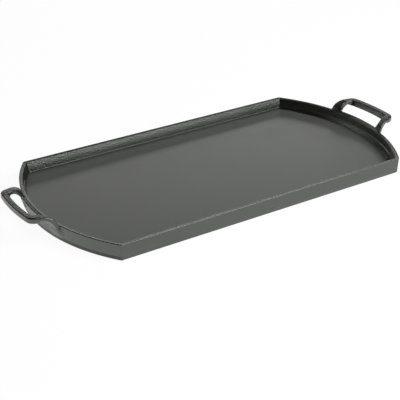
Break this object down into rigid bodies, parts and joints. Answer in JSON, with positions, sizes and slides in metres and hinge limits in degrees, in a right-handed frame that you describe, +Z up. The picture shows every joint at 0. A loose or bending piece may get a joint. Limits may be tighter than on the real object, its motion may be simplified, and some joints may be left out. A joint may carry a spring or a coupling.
{
  "type": "griddle plate",
  "caption": "Shallow cast iron griddle tray with straight long walls, bowed ends and a raised loop handle at each end, for cooking over a camp stove.",
  "frame": {"origin": "centre of the underside, on the surface that the griddle stands on", "axes": "+X along the length towards the right handle, +Y across the tray towards the rear wall, +Z up"},
  "size_m": [0.5486, 0.254, 0.0344],
  "materials": {
    "cooking_surface": "seasoned, smooth satin",
    "rough_iron": "seasoned, fine pebbled casting skin",
    "handle_iron": "seasoned, fine pebbled casting skin"
  },
  "bodies": {
    "root": {"cooking_plate": "cooking_surface", "front_wall": "rough_iron", "rear_wall": "rough_iron", "left_end_wall": "rough_iron", "right_end_wall": "rough_iron", "left_handle": "handle_iron", "right_handle": "handle_iron"}
  },
  "joints": []
}
